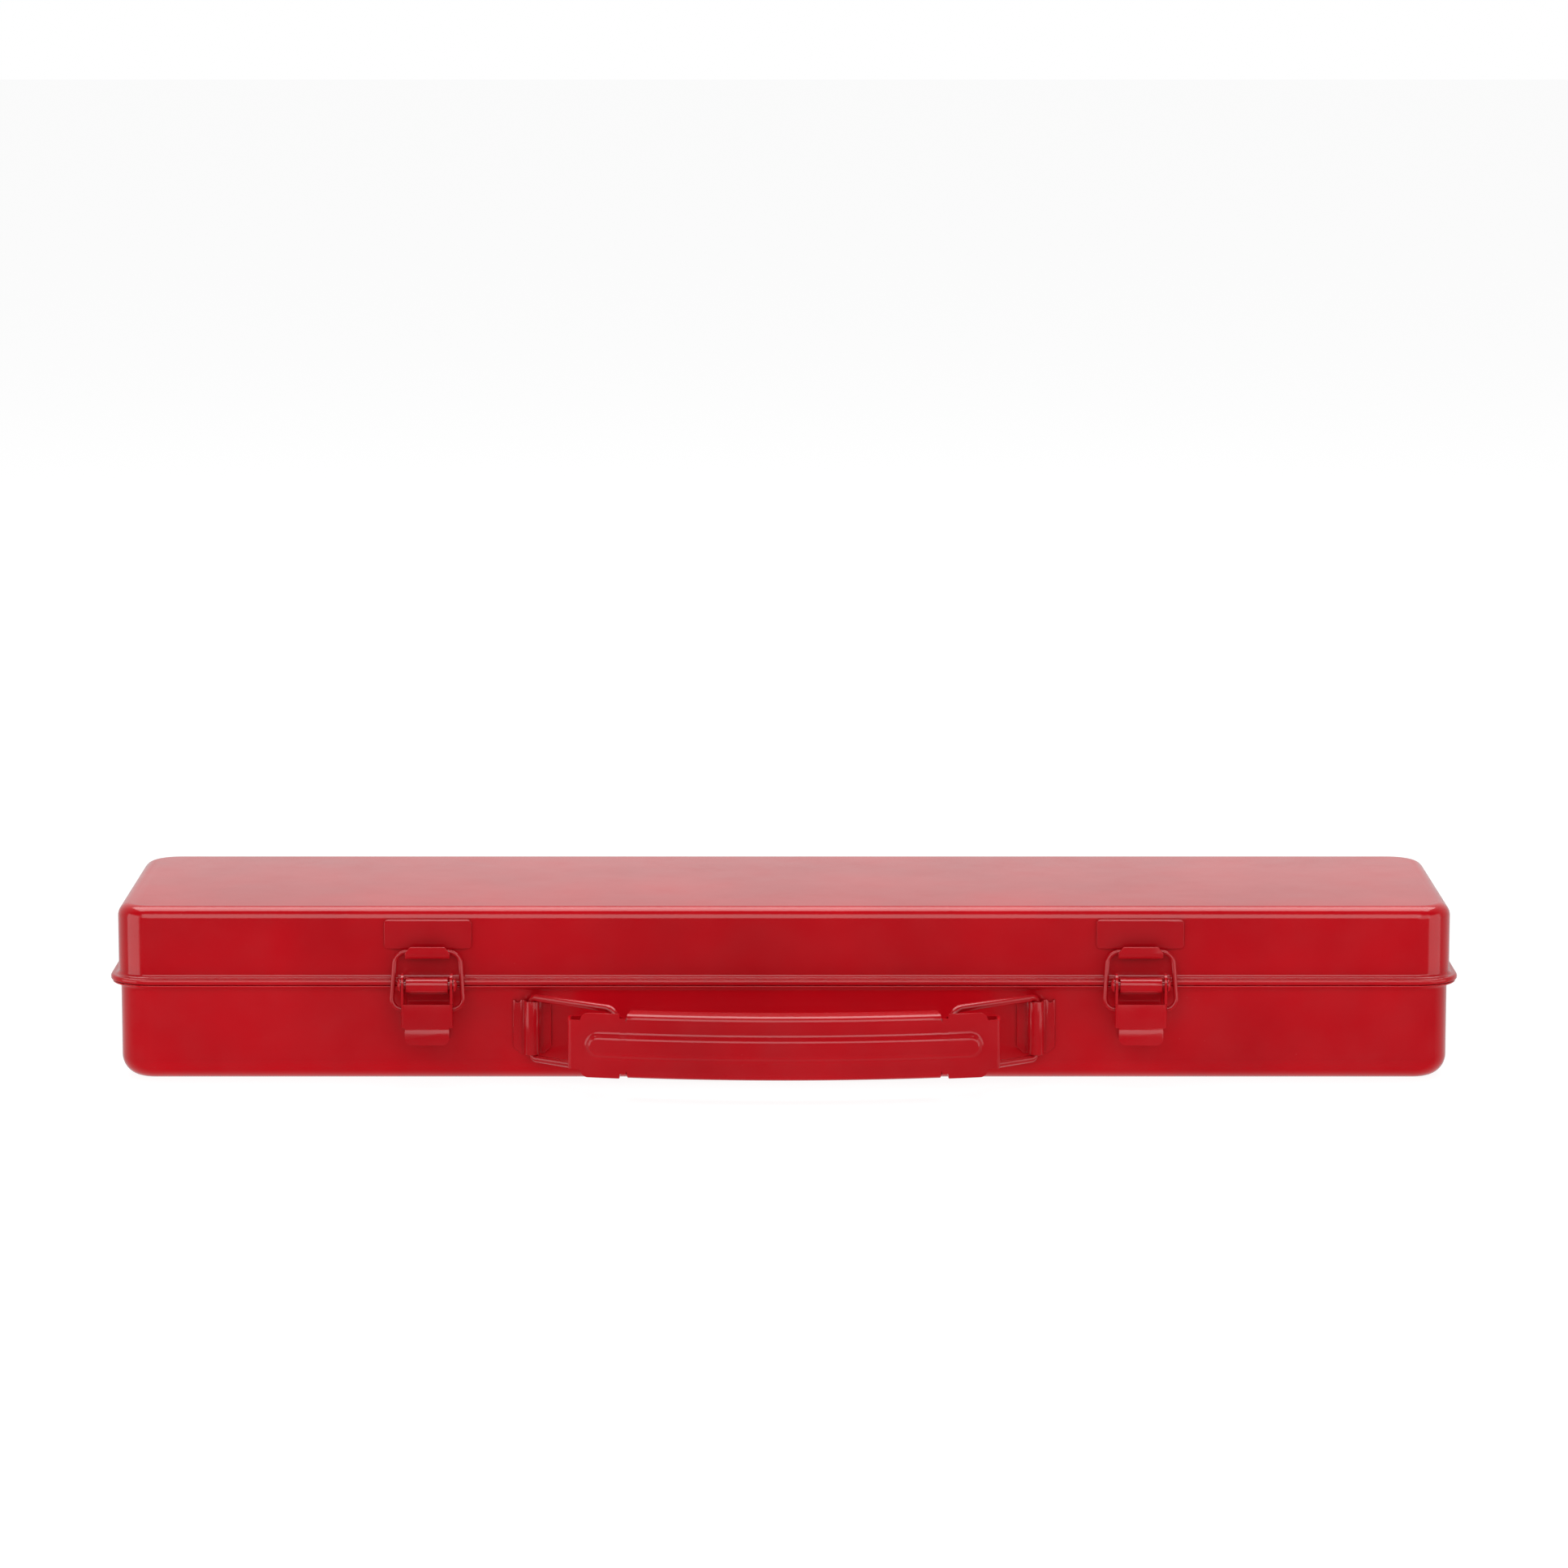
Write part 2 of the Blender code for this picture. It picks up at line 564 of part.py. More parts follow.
def build_lever(label, centre_x):
    """A U of sheet: two cheeks, a front face and a finger tab below it."""
    back = -LID_HALF_Y - LEVER_BACK
    front = -LID_HALF_Y - LEVER_FRONT
    face_back = front + LEVER_SHEET
    top = RIVET_Z + LEVER_RISE
    face_top = RIVET_Z - LEVER_FACE_START
    face_bottom = RIVET_Z - LEVER_FACE_END
    tab_bottom = RIVET_Z - TAB_END
    corners = [
        (back, top, LEVER_TOP_RADIUS),
        (front, top, LEVER_TOP_RADIUS),
        (front, face_bottom, 0),
        (front - TAB_FLARE, tab_bottom, 0),
        (face_back - TAB_FLARE, tab_bottom, 0),
        (face_back, face_bottom, 0),
        (back, RIVET_Z - LEVER_CHEEK_END, CRANK_BEND),
    ]
    outline = rounded(corners, closed=True, steps=LEVER_BEND_STEPS)
    half = LEVER_WIDTH / 2
    solid = along_x(outline, centre_x - half, centre_x + half)
    lever = part(f"latch_lever_{label}", solid, ENAMEL_PRESSED, (centre_x, RIVET_Y, RIVET_Z))
    hollow = [
        (back + CUT_OVER, top + CUT_OVER),
        (front - CUT_OVER, top + CUT_OVER),
        (front - CUT_OVER, face_top),
        (face_back, face_top),
        (face_back, face_bottom + LEVER_FOOT),
        (face_back + 3 * LEVER_FOOT, face_bottom - CUT_OVER),
        (back + CUT_OVER, face_bottom - CUT_OVER),
    ]
    inner = half - LEVER_SHEET
    cut(lever, f"latch_lever_hollow_{label}", along_x(hollow, centre_x - inner, centre_x + inner))
    for place, side in (("a", -1), ("b", 1)):
        near, far = sorted((centre_x + side * TAB_WIDTH / 2, centre_x + side * (half + CUT_OVER)))
        low = (near, front - TAB_FLARE - CUT_OVER, tab_bottom - CUT_OVER)
        cut(lever, f"latch_tab_side_{place}_{label}", box(low, (far, face_back + GAP, face_bottom)))
    reach = half + CUT_OVER
    holes = (
        ("rivet", RIVET_Y, RIVET_Z, RIVET_RADIUS),
        ("loop", LOOP_PIVOT_Y, LOOP_PIVOT_Z, LOOP_WIRE_RADIUS),
    )
    for hole, y, z, radius in holes:
        bore = rod(y, z, radius + GAP, centre_x - reach, centre_x + reach)
        cut(lever, f"latch_{hole}_hole_{label}", bore)


def build_loop(label, centre_x):
    """Bent wire from one cheek of the lever, over the hook, to the other cheek."""
    pivot = Vector((centre_x, LOOP_PIVOT_Y, LOOP_PIVOT_Z))
    rise = Vector((0.0, LOOP_BAR_Y - LOOP_PIVOT_Y, LOOP_BAR_Z - LOOP_PIVOT_Z))
    up = rise.normalized()
    across = Vector((1.0, 0.0, 0.0))
    corners = [
        (LOOP_END, 0, 0),
        (LOOP_HALF_BOTTOM, 0, LOOP_BEND_BOTTOM),
        (LOOP_HALF_TOP, rise.length, LOOP_BEND_TOP),
    ]
    corners += [(-u, v, radius) for u, v, radius in corners[::-1]]
    plan = rounded(corners, steps=WIRE_BEND_STEPS)
    path = [pivot + across * point.x + up * point.y for point in plan]
    part(f"latch_loop_{label}", wire(path, across.cross(up), LOOP_WIRE_RADIUS), ENAMEL_WIRE, pivot)


# Handle


def build_ear(label, side):
    """A strap on the base with a half-round channel for the ring's upright."""
    centre_x = side * EAR_X
    flat = -BASE_HALF_Y - GAP - SHEET / 2
    channel = EAR_CHANNEL_RADIUS
    half = EAR_WIDTH / 2
    path = rounded([
        (centre_x - half, flat, 0),
        (centre_x - channel, flat, SMALL_BEND),
        (centre_x - channel, RING_AXIS_Y + NUDGE, 0),
    ])
    path += arc((centre_x, RING_AXIS_Y), channel, 180, 360, CHANNEL_STEPS)[1:-1]
    path += rounded([
        (centre_x + channel, RING_AXIS_Y + NUDGE, 0),
        (centre_x + channel, flat, SMALL_BEND),
        (centre_x + half, flat, 0),
    ])
    strap = along_z(sheet_outline(path, SHEET), RING_Z - EAR_HALF_HEIGHT, RING_Z + EAR_HALF_HEIGHT)
    part(f"handle_ear_{label}", strap, ENAMEL_PRESSED)


def build_ring(label, side):
    """A closed ring of wire. One upright turns in the ear, the other sits in the grip."""
    along = Vector((-side * cos(RING_REST_ANGLE), -sin(RING_REST_ANGLE), 0.0))
    up = Vector((0.0, 0.0, 1.0))
    pivot = Vector((side * EAR_X, RING_AXIS_Y, RING_Z))
    corners = [
        (0, -RING_HALF_HEIGHT, RING_EAR_BEND),
        (RING_LENGTH, -RING_HALF_HEIGHT, RING_GRIP_BEND),
        (RING_LENGTH, RING_HALF_HEIGHT, RING_GRIP_BEND),
        (0, RING_HALF_HEIGHT, RING_EAR_BEND),
    ]
    plan = rounded(corners, closed=True, steps=WIRE_BEND_STEPS)
    path = [pivot + along * point.x + up * point.y for point in plan]
    rings = wire(path, along.cross(up), RING_WIRE_RADIUS, closed=True)
    part(f"handle_ring_{label}", rings, ENAMEL_WIRE, pivot, ring_closed=True)


def grip_section(half_height, flange, bead):
    """Outline across the grip as (depth behind the front face, height), twelve points."""
    sheet = GRIP_SHEET
    step = sheet if flange > sheet else sheet / 2
    lower = [(0, -half_height), (0, -BEAD_HALF_WIDTH), (-bead, -BEAD_HALF_WIDTH + BEAD_SLOPE)]
    inner = [(flange, half_height), (flange, half_height - step), (sheet, half_height - sheet)]
    upper = [(depth, -height) for depth, height in lower[::-1]]
    return lower + upper + inner + [(depth, -height) for depth, height in inner[::-1]]


def bow_out(x):
    """How far the grip's front face stands in front of the lid's wall."""
    return GRIP_END_OUT + GRIP_BOW * (1 - (x / GRIP_HALF_LENGTH) ** 2)


def grip_stations():
    """Right half of the grip from its middle: (x, flange depth, half height, bead height)."""
    flange_end = GRIP_HALF_LENGTH - GRIP_FLANGE_SETBACK
    bead_end = GRIP_HALF_LENGTH - BEAD_SETBACK
    plate_end = GRIP_HALF_LENGTH - GRIP_PLATE_SETBACK
    stations = []
    for step in range(GRIP_BOW_STEPS + 1):
        x = flange_end * step / GRIP_BOW_STEPS
        stations.append((x, GRIP_FLANGE, GRIP_HALF_HEIGHT, BEAD_HEIGHT))
    stations.append((flange_end + GRIP_NOTCH, GRIP_SHEET, GRIP_HALF_HEIGHT, BEAD_HEIGHT))
    stations.append((bead_end - BEAD_RAMP, GRIP_SHEET, GRIP_HALF_HEIGHT, BEAD_HEIGHT))
    stations.append((bead_end, GRIP_SHEET, GRIP_HALF_HEIGHT, 0.0))
    stations.append((plate_end, GRIP_SHEET, GRIP_HALF_HEIGHT, 0.0))
    stations.append((plate_end + GRIP_NOTCH, GRIP_SHEET, GRIP_TAB_HALF_HEIGHT, 0.0))
    return stations


def grip_end_turns():
    """The right end folded back: points down its front bend, round its rear bend, to its tip."""
    bend = GRIP_TAB_BEND
    front_y = -LID_HALF_Y - bow_out(GRIP_HALF_LENGTH - bend)
    rear_y = -LID_HALF_Y - GRIP_END_OUT + GRIP_TAB_DEPTH
    turns = []
    for centre_y, first, last in ((front_y + bend, GRIP_TAB_TURN, 360), (rear_y - bend, 0, 90)):
        centre = Vector((GRIP_HALF_LENGTH - bend, centre_y))
        for point in arc(centre, bend, first, last, WIRE_BEND_STEPS):
            turns.append((point, (centre - point).normalized()))
    turns.append((Vector((GRIP_HALF_LENGTH - GRIP_TAB_SETBACK, rear_y)), Vector((0.0, -1.0))))
    return turns


def build_grip():
    """A bowed channel whose ends fold back round the rings' uprights."""
    frames = []
    for x, flange, height, bead in grip_stations():
        slope = 2 * GRIP_BOW * x / GRIP_HALF_LENGTH**2
        inward = Vector((-slope, 1.0)).normalized()
        frames.append((Vector((x, -LID_HALF_Y - bow_out(x))), inward, flange, height, bead))
    for point, inward in grip_end_turns():
        frames.append((point, inward, GRIP_SHEET, GRIP_TAB_HALF_HEIGHT, 0.0))
    mirrored = []
    for point, inward, *rest in frames[:0:-1]:
        mirrored.append((Vector((-point.x, point.y)), Vector((-inward.x, inward.y)), *rest))
    rings = []
    for point, inward, flange, height, bead in mirrored + frames:
        ring = []
        for depth, z in grip_section(height, flange, bead):
            place = point + inward * depth
            ring.append((place.x, place.y, GRIP_Z + z))
        rings.append(ring)
    part("handle_grip", rings, ENAMEL_PRESSED, (0.0, -LID_HALF_Y - bow_out(0.0), GRIP_Z))


def main():
    for old in list(bpy.data.objects):
        bpy.data.objects.remove(old, do_unlink=True)
    build_pans()
    for label, side in (("left", -1), ("right", 1)):
        build_tray_fittings(label, side)
        build_hinge(label, side)
        build_strike(label, side * LATCH_X)
        build_bracket(label, side * LATCH_X)
        build_lever(label, side * LATCH_X)
        build_loop(label, side * LATCH_X)
        build_ear(label, side)
        build_ring(label, side)
    build_grip()


main()
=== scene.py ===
"""The looks of a flat red steel toolbox: fine pressed-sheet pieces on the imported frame.

Pieces are drawn in millimetres, in the frame's axes, and scaled to metres as they are made.
"""

import json
from math import cos, pi, radians, sin, sqrt, tan

import bmesh
import bpy
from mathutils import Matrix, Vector


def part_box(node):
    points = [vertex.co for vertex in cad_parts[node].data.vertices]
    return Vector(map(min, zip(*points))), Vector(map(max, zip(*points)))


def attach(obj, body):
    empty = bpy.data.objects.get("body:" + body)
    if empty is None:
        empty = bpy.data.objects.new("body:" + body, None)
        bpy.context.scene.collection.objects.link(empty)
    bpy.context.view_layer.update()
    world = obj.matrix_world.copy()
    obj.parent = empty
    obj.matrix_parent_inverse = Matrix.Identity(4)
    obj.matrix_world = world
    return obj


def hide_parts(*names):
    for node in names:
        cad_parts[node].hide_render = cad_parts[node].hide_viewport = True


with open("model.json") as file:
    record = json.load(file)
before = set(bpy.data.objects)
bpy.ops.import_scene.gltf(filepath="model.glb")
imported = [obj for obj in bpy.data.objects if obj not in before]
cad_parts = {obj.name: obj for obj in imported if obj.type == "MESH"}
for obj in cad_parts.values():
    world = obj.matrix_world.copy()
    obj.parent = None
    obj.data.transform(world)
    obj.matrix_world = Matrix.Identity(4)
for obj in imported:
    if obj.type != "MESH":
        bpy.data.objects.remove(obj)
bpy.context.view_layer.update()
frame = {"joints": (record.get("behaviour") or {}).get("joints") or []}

MM = 0.001
SAME_POINT = 1e-7  # metres
BLUNTEST_MITRE = 0.3  # keeps a line's sides from running out at a sharp corner
JOINTS = {joint["name"]: joint for joint in frame["joints"]}


def node_box(node):
    """A node's lowest and highest corners at rest, in millimetres."""
    low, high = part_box(node)
    return low / MM, high / MM


def joint_point(name):
    return Vector(JOINTS[name]["pos_m"]) / MM


# Sizes of the sheet and the wire, which the frame's boxes don't give by themselves
SHEET = 0.8
GAP = 0.3
LID_FLANGE = 2.8
LID_LIP = 1.8
LID_FLANGE_FILLET = 1.5
LID_EDGE_RADIUS = 4.5
LID_CORNER = 12.9
BASE_FLANGE = 2.95
BASE_FLANGE_FILLET = 1.8
BASE_EDGE_RADIUS = 7.5
BASE_CORNER = 12.15
TRAY_RIM = 2.0
TRAY_EDGE_RADIUS = 4.0
TRAY_CORNER = 10.5
GRIP_SHEET = 1.0
LEAF_RISE = 7.5  # where a hinge leaf starts to lean out to its knuckle, from the axis
LEAF_CORNER = 3.0
KNUCKLE_HALF = 8.8

LID_LOW, LID_HIGH = node_box("lid_shell")
BASE_HIGH = node_box("base_shell")[1]
LID_HALF = Vector((LID_HIGH.x - LID_FLANGE, LID_HIGH.y - LID_FLANGE))
BASE_HALF = Vector((BASE_HIGH.x - BASE_FLANGE, BASE_HIGH.y - BASE_FLANGE))
LID_AXIS = joint_point("lid_hinge")


# Outlines: lists of 2D points


def arc(centre, radius, start, end, steps):
    """Points from start to end, in degrees, round a centre."""
    points = []
    for step in range(steps + 1):
        angle = radians(start + (end - start) * step / steps)
        points.append(Vector((centre[0] + radius * cos(angle), centre[1] + radius * sin(angle))))
    return points


def rounded(corners, closed=False, steps=8):
    """A line through (u, v, radius) corners, each turned with its own radius."""
    points = []
    count = len(corners)
    for index, (u, v, radius) in enumerate(corners):
        corner = Vector((u, v))
        if radius == 0 or (not closed and index in (0, count - 1)):
            points.append(corner)
            continue
        back = (Vector(corners[index - 1][:2]) - corner).normalized()
        ahead = (Vector(corners[(index + 1) % count][:2]) - corner).normalized()
        half = back.angle(ahead) / 2
        centre = corner + (back + ahead).normalized() * radius / sin(half)
        spoke = corner + back * radius / tan(half) - centre
        turn = (pi - 2 * half) * (-1 if back.cross(ahead) > 0 else 1)
        for step in range(steps + 1):
            angle = turn * step / steps
            turned = (
                spoke.x * cos(angle) - spoke.y * sin(angle),
                spoke.x * sin(angle) + spoke.y * cos(angle),
            )
            points.append(centre + Vector(turned))
    return points


def directions(path):
    """Unit side vectors along an open 2D path, lengthened at its corners."""
    sides = []
    for index, point in enumerate(path):
        before = path[max(index - 1, 0)]
        after = path[min(index + 1, len(path) - 1)]
        arriving = (point - before).normalized() if index else (after - point).normalized()
        leaving = (after - point).normalized() if index < len(path) - 1 else arriving
        along = (arriving + leaving).normalized()
        sides.append(Vector((-along.y, along.x)) / max(along.dot(leaving), BLUNTEST_MITRE))
    return sides


def divided(path, longest):
    """The same path with extra points, so that no stretch is longer than given."""
    points = [path[0]]
    for start, end in zip(path, path[1:]):
        pieces = max(1, int((end - start).length / longest + 0.999))
        points += [start.lerp(end, step / pieces) for step in range(1, pieces + 1)]
    return points


def with_fine_start(path, longest=0.9):
    """The same path, finely divided where a leaf's round corners begin."""
    first, second = path[:2]
    return divided([first, first.lerp(second, 0.02), first.lerp(second, 0.25)] + path[1:], longest)


def lengths(path):
    """How far along the path each point lies."""
    total = 0.0
    found = [0.0]
    for start, end in zip(path, path[1:]):
        total += (end - start).length
        found.append(total)
    return found


# Meshes


def solid(name, rings, ring_closed=False, sharp=35.0):
    """One closed mesh from rings of points, each ring joined to the next."""
    mesh = bpy.data.meshes.new(name)
    built = bmesh.new()
    loops = [[built.verts.new(Vector(point) * MM) for point in ring] for ring in rings]
    pairs = list(zip(loops, loops[1:]))
    if ring_closed:
        pairs.append((loops[-1], loops[0]))
    for first, second in pairs:
        for index in range(len(first)):
            after = (index + 1) % len(first)
            built.faces.new((first[index], first[after], second[after], second[index]))
    if not ring_closed:
        built.faces.new(loops[0][::-1])
        built.faces.new(loops[-1])
    bmesh.ops.remove_doubles(built, verts=built.verts, dist=SAME_POINT)
    bmesh.ops.recalc_face_normals(built, faces=built.faces)
    if built.calc_volume(signed=True) < 0:
        bmesh.ops.reverse_faces(built, faces=built.faces)
    built.to_mesh(mesh)
    built.free()
    mesh.shade_smooth()
    mesh.set_sharp_from_angle(angle=radians(sharp))
    made = bpy.data.objects.new(name, mesh)
    bpy.context.scene.collection.objects.link(made)
    return made


def along_x(outline, start, end):
    return [[(x, point[0], point[1]) for point in outline] for x in (start, end)]


def along_z(outline, start, end):
    return [[(point[0], point[1], z) for point in outline] for z in (start, end)]


def block(low, high):
    outline = [(low[0], low[1]), (high[0], low[1]), (high[0], high[1]), (low[0], high[1])]
    return along_z(outline, low[2], high[2])


def sheet_strip(path, sheet, extent, place):
    """Rings along a bent sheet. extent gives its two edges at a length, place puts a point in space."""
    rings = []
    for point, side, length in zip(path, directions(path), lengths(path)):
        low, high = extent(length)
        front = point + side * sheet / 2
        rear = point - side * sheet / 2
        rings.append([place(front, low), place(front, high), place(rear, high), place(rear, low)])
    return rings


def cut(target, name, rings):
    """Cuts target with a solid that isn't kept."""
    tool = solid(name, rings)
    modifier = target.modifiers.new(name, "BOOLEAN")
    modifier.operation = "DIFFERENCE"
    modifier.solver = "EXACT"
    modifier.object = tool
    settle(target)
    bpy.data.objects.remove(tool, do_unlink=True)


def corner_waste(edge, start, radius, over=1.5):
    """What a rounded corner takes away, drawn as (u, v): u up to edge, v from start."""
    clear = 0.02
    centre = (edge - radius, start + radius)
    waste = arc(centre, radius + clear, -90, 0, 8)
    return waste + [Vector((edge + over, centre[1])), Vector((edge + over, start - over)),
                    Vector((centre[0], start - over))]


def settle(target):
    """Applies a piece's modifiers to its mesh."""
    graph = bpy.context.evaluated_depsgraph_get()
    done = bpy.data.meshes.new_from_object(target.evaluated_get(graph))
    target.modifiers.clear()
    target.data = done


def soften(target, width, segments=2, angle=38.0):
    """Small round edges, as pressed and enamelled sheet has."""
    bevel = target.modifiers.new("soft_edges", "BEVEL")
    bevel.width = width * MM
    bevel.segments = segments
    bevel.limit_method = "ANGLE"
    bevel.angle_limit = radians(angle)
    bevel.harden_normals = False
    settle(target)
    target.data.shade_smooth()
    target.data.set_sharp_from_angle(angle=radians(50))


def wire(path, normal, radius, closed=False, sides=20):
    """Rings of points round a wire that lies in one plane."""
    rings = []
    count = len(path)
    for index, point in enumerate(path):
        before = path[index - 1] if closed or index else point
        after = path[(index + 1) % count] if closed or index < count - 1 else point
        arriving = (point - before).normalized() if before is not point else (after - point).normalized()
        leaving = (after - point).normalized() if after is not point else arriving
        along = (arriving + leaving).normalized()
        side = along.cross(normal).normalized() / max(along.dot(leaving), BLUNTEST_MITRE)
        ring = []
        for step in range(sides):
            angle = 2 * pi * step / sides
            ring.append(point + side * radius * cos(angle) + normal * radius * sin(angle))
        rings.append(ring)
    return rings


def turned(axis_y, axis_z, stations, sides=40):
    """Rings round an axis along X, from (x, radius) stations."""
    rings = []
    for x, radius in stations:
        rings.append([(x, p.x, p.y) for p in arc((axis_y, axis_z), radius, 0, 360, sides)[:-1]])
    return rings


# Enamel


def enamel(name, colour, roughness, peel, wave):
    """Glossy red enamel. peel and wave are bump heights in metres: orange peel, and the sheet's waves."""
    made = bpy.data.materials.new(name)
    made.use_nodes = True
    nodes = made.node_tree.nodes
    links = made.node_tree.links
    shader = nodes["Principled BSDF"]
    shader.inputs["IOR"].default_value = 1.5
    shader.inputs["Coat Weight"].default_value = 0.25
    shader.inputs["Coat Roughness"].default_value = 0.06
    place = nodes.new("ShaderNodeTexCoord")

    def noise(scale, detail, rough=0.5):
        node = nodes.new("ShaderNodeTexNoise")
        node.inputs["Scale"].default_value = scale
        node.inputs["Detail"].default_value = detail
        node.inputs["Roughness"].default_value = rough
        links.new(place.outputs["Object"], node.inputs["Vector"])
        return node.outputs["Fac"]

    def ramp(source, stops):
        node = nodes.new("ShaderNodeValToRGB")
        links.new(source, node.inputs["Fac"])
        elements = node.color_ramp.elements
        while len(elements) < len(stops):
            elements.new(0.5)
        for element, (position, value) in zip(elements, stops):
            element.position = position
            element.color = value
        return node.outputs["Color"]

    def grey(level):
        return (level, level, level, 1.0)

    def shade(factor):
        return (colour[0] * factor, colour[1] * factor, colour[2] * factor, 1.0)

    depth = ramp(noise(22.0, 3.0), [(0.3, shade(0.9)), (0.7, shade(1.08))])
    specks = nodes.new("ShaderNodeTexVoronoi")
    specks.inputs["Scale"].default_value = 260.0
    links.new(place.outputs["Object"], specks.inputs["Vector"])
    dots = ramp(specks.outputs["Distance"], [(0.035, grey(1.0)), (0.075, grey(0.0))])
    patches = ramp(noise(45.0, 2.0), [(0.52, grey(0.0)), (0.66, grey(1.0))])
    dust = nodes.new("ShaderNodeMath")
    dust.operation = "MULTIPLY"
    links.new(dots, dust.inputs[0])
    links.new(patches, dust.inputs[1])
    weight = nodes.new("ShaderNodeMath")
    weight.operation = "MULTIPLY"
    weight.inputs[1].default_value = 0.35
    links.new(dust.outputs[0], weight.inputs[0])
    mixed = nodes.new("ShaderNodeMix")
    mixed.data_type = "RGBA"
    links.new(weight.outputs[0], mixed.inputs["Factor"])
    links.new(depth, mixed.inputs["A"])
    mixed.inputs["B"].default_value = (0.56, 0.06, 0.06, 1.0)
    links.new(mixed.outputs["Result"], shader.inputs["Base Color"])

    sheen = ramp(noise(70.0, 4.0, 0.6), [(0.3, grey(roughness * 0.8)), (0.75, grey(roughness * 1.35))])
    links.new(sheen, shader.inputs["Roughness"])

    waves = nodes.new("ShaderNodeBump")
    waves.inputs["Strength"].default_value = 1.0
    waves.inputs["Distance"].default_value = wave
    links.new(noise(26.0, 1.0), waves.inputs["Height"])
    skin = nodes.new("ShaderNodeBump")
    skin.inputs["Strength"].default_value = 1.0
    skin.inputs["Distance"].default_value = peel
    links.new(noise(420.0, 2.0), skin.inputs["Height"])
    links.new(waves.outputs["Normal"], skin.inputs["Normal"])
    links.new(skin.outputs["Normal"], shader.inputs["Normal"])
    return made


SHELL = enamel("shell_enamel", (0.50, 0.0030, 0.0085), 0.16, 0.000010, 0.00016)
PRESSING = enamel("pressing_enamel", (0.47, 0.0030, 0.0085), 0.18, 0.000012, 0.00002)
WIRE = enamel("wire_enamel", (0.44, 0.0030, 0.0080), 0.2, 0.000012, 0.00001)
INSIDE = enamel("inside_enamel", (0.42, 0.005, 0.011), 0.3, 0.000014, 0.00008)


def tidy_mesh(piece):
    """Removes the faces without area that a cut or a bevel can leave."""
    shape = bmesh.new()
    shape.from_mesh(piece.data)
    bmesh.ops.dissolve_degenerate(shape, dist=SAME_POINT, edges=shape.edges)
    shape.to_mesh(piece.data)
    shape.free()


def finished(piece, node, body, material, bevel=0.0, segments=2):
    """Gives a piece its edges, material and body, and hides the node that it stands for."""
    if bevel:
        soften(piece, bevel, segments)
    tidy_mesh(piece)
    piece.data.materials.clear()
    piece.data.materials.append(material)
    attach(piece, body)
    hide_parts(node)


# The pressed pans


def plan_ring(half, corner, out, z, steps=14):
    ring = []
    for quarter, (side_x, side_y) in enumerate(((1, 1), (-1, 1), (-1, -1), (1, -1))):
        centre = (side_x * (half.x - corner), side_y * (half.y - corner))
        for point in arc(centre, corner + out, 90 * quarter, 90 * quarter + 90, steps):
            ring.append((point.x, point.y, z))
    return ring


def pan(name, half, corner, profile):
    return solid(name, [plan_ring(half, corner, out, z) for out, z in profile])


def build_base():
    edge = BASE_EDGE_RADIUS
    fillet = BASE_FLANGE_FILLET
    top = BASE_HIGH.z
    under = top - SHEET
    nose = SHEET / 2
    profile = arc((-edge, edge), edge, -90, 0, 12)
    profile += arc((fillet, under - fillet), fillet, 180, 90, 6)
    profile += arc((BASE_FLANGE - nose, top - nose), nose, -90, 90, 6)
    profile += arc((fillet, under - fillet), fillet + SHEET, 90, 180, 6)
    profile += arc((-edge, edge), edge - SHEET, 0, -90, 12)
    made = pan("base_pan", BASE_HALF, BASE_CORNER, profile)
    finished(made, "base_shell", "base", SHELL)


def build_lid():
    edge = LID_EDGE_RADIUS
    fillet = LID_FLANGE_FILLET
    rim = LID_LOW.z
    flange_top = rim + LID_LIP
    centre = (-edge, LID_HIGH.z - edge)
    shoulder = (fillet, flange_top + fillet)
    turn = 0.9
    foot = 0.25
    profile = arc(centre, edge, 90, 0, 12)
    profile += arc(shoulder, fillet, 180, 270, 6)
    profile += arc((LID_FLANGE - turn, flange_top - turn), turn, 90, 0, 6)
    profile += arc((LID_FLANGE - foot, rim + foot), foot, 0, -90, 3)
    profile += arc((LID_FLANGE - SHEET + foot, rim + foot), foot, -90, -180, 3)
    profile += [(LID_FLANGE - SHEET, flange_top - SHEET)]
    profile += arc(shoulder, fillet + SHEET, 270, 180, 6)
    profile += arc(centre, edge - SHEET, 0, 90, 12)
    made = pan("lid_pan", LID_HALF, LID_CORNER, profile)
    finished(made, "lid_shell", "lid", SHELL)


def build_tray():
    low, high = node_box("tray")
    half = Vector((high.x - TRAY_RIM, high.y - TRAY_RIM))
    edge = TRAY_EDGE_RADIUS
    floor = (-edge, low.z + edge)
    nose = SHEET / 2
    bend = 0.6
    rim = (bend, high.z - SHEET - bend)
    profile = arc(floor, edge, -90, 0, 8)
    profile += arc(rim, bend, 180, 90, 4)
    profile += arc((TRAY_RIM - nose, high.z - nose), nose, -90, 90, 6)
    profile += arc(rim, bend + SHEET, 90, 180, 4)
    profile += arc(floor, edge - SHEET, 0, -90, 8)
    made = pan("tray_pan", half, TRAY_CORNER, profile)
    finished(made, "tray", "tray", INSIDE)


